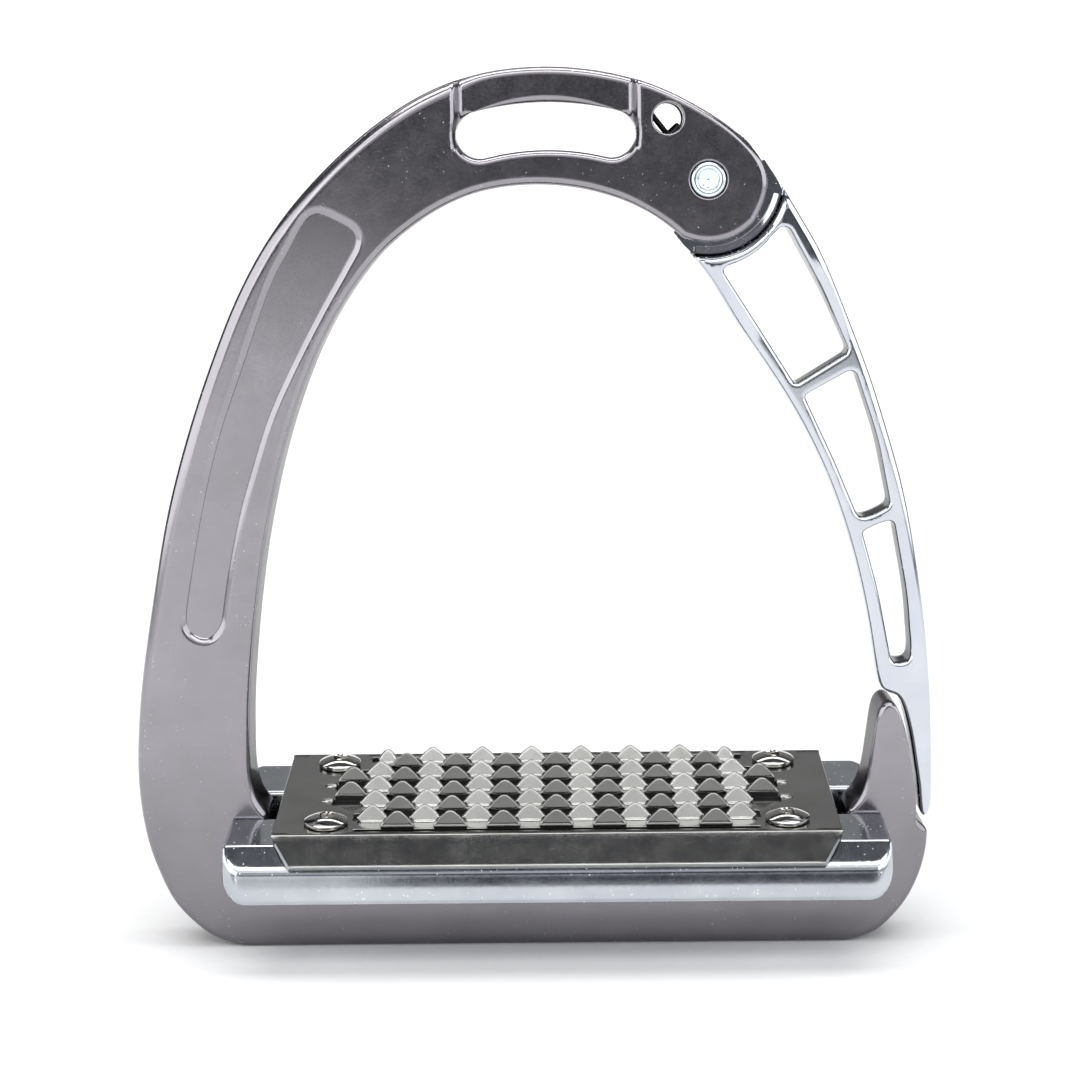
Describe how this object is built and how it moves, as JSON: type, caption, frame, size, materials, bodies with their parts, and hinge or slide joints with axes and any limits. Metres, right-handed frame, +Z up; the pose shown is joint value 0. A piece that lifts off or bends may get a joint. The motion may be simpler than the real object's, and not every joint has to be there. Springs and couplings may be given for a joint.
{
  "type": "stirrup iron",
  "caption": "Safety stirrup iron with an open alloy frame, a sprung outer arm that swings outward, and a sloping tread with a toothed grip plate.",
  "frame": {"origin": "centre of the bounding box in X and Y, at the underside of the bottom bar that the stirrup stands on", "axes": "+Z up from the tread to the eye, +X across the foot towards the release arm, -Y towards the lower edge of the sloping tread"},
  "size_m": [0.1562, 0.0539, 0.171],
  "materials": {
    "anodised_frame": "satin titanium-grey anodising",
    "polished_arm": "bright polished",
    "polished_bed": "polished",
    "plated_pivot": "bright zinc plate",
    "black_spring": "blackened spring steel",
    "polymer_washer": "dark bearing polymer",
    "steel_screw": "plain stainless steel",
    "black_pad": "matt black elastomer",
    "stainless_plate": "fine brushed stainless sheet",
    "polished_screw": "polished stainless heads"
  },
  "bodies": {
    "frame_body": {"frame": "anodised_frame", "pivot_sleeve": "plated_pivot", "pivot_screw": "plated_pivot", "torsion_spring": "black_spring", "thrust_washer_front": "polymer_washer", "thrust_washer_rear": "polymer_washer", "tread_bed": "polished_bed", "bed_screw_left": "steel_screw", "bed_screw_right": "steel_screw", "grip_pad": "black_pad", "grip_plate": "stainless_plate", "grip_screw_front_left": "polished_screw", "grip_screw_front_right": "polished_screw", "grip_screw_rear_left": "polished_screw", "grip_screw_rear_right": "polished_screw"},
    "arm_body": {"safety_arm": "polished_arm"}
  },
  "joints": [
    {"name": "arm_pivot", "type": "hinge", "parent": "frame_body", "child": "arm_body", "pos_m": [0.0341, 0, 0.1496], "axis": [0, -1, 0], "range_deg": [0, 80], "stiffness_Nm_per_rad": 0.5, "springref_deg": -28.65, "deforming": ["torsion_spring"]}
  ]
}
